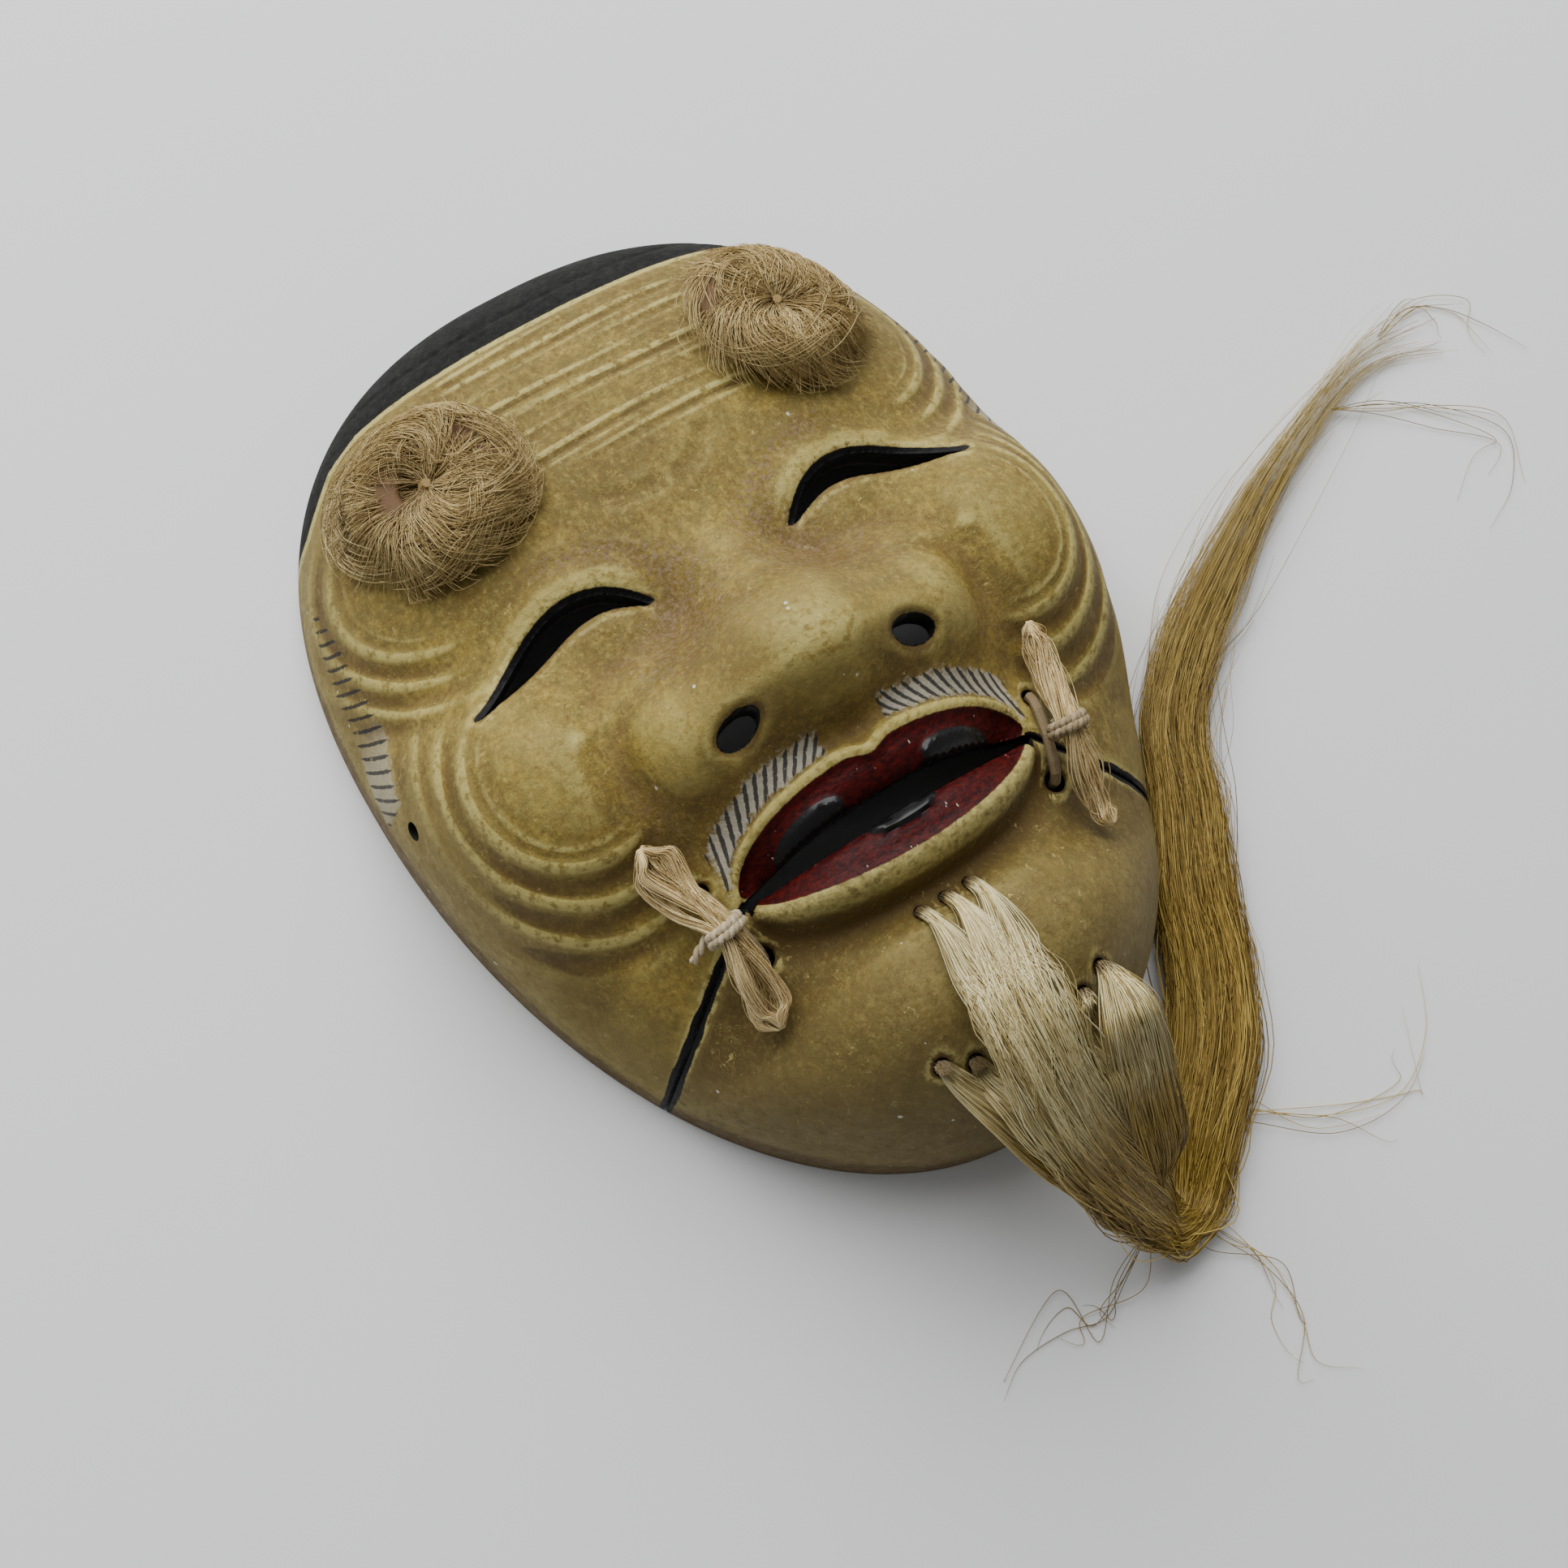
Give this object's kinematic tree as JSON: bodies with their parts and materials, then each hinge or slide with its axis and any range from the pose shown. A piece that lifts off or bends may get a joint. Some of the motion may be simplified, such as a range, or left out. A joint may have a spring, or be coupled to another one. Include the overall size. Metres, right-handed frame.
{
  "type": "noh mask",
  "caption": "carved old man's theatre mask in two shells, with a tied-on jaw, hemp brow tufts and a long hair beard",
  "frame": {"origin": "middle of the rim's flat back face above the forehead", "axes": "X across the face to the viewer's right, Y from the chin up to the forehead, Z out of the face; the mask lies on its back rim"},
  "size_m": [0.2702, 0.2755, 0.0717],
  "materials": {
    "painted_wood": "aged ochre gesso, satin, worn pale on its ridges",
    "painted_jaw_wood": "aged ochre gesso, satin, a little browner",
    "hemp": "loose combed hemp fibre",
    "hemp_cord": "thin twisted cord",
    "beard_hair": "white to cream long hair",
    "beard_hair_gold": "golden long hair"
  },
  "bodies": {
    "face": {"face_shell": "painted_wood", "brow_tuft_left": "hemp", "brow_tuft_right": "hemp", "brow_stitch_left": "hemp_cord", "brow_stitch_right": "hemp_cord", "jaw_cord_left": "hemp_cord", "jaw_cord_right": "hemp_cord", "jaw_hank_left": "hemp", "jaw_hank_right": "hemp", "hank_binding_left": "hemp_cord", "hank_binding_right": "hemp_cord"},
    "jaw": {"jaw_shell": "painted_jaw_wood", "lip_lock_left": "beard_hair", "lip_lock_middle": "beard_hair", "lip_lock_right": "beard_hair", "chin_lock_outer_left": "beard_hair", "chin_lock_inner_left": "beard_hair", "chin_lock_outer_right": "beard_hair", "chin_lock_inner_right": "beard_hair", "beard_front": "beard_hair", "loose_hair_fold_left": "beard_hair_gold"},
    "beard_tail": {"beard_tail": "beard_hair_gold", "loose_hair_tip_upper": "beard_hair_gold", "loose_hair_tip_lower": "beard_hair_gold", "loose_hair_fold_right": "beard_hair_gold", "loose_hair_fold_low": "beard_hair_gold"}
  },
  "joints": [
    {"name": "jaw_swing", "type": "hinge", "parent": "face", "child": "jaw", "pos_m": [0, -0.14075, 0.041], "axis": [-1, 0, 0], "range_deg": [0, 4]},
    {"name": "beard_swing", "type": "hinge", "parent": "jaw", "child": "beard_tail", "pos_m": [0.013, -0.22475, 0.005], "axis": [0, 0, -1], "range_deg": [0, 50]}
  ]
}
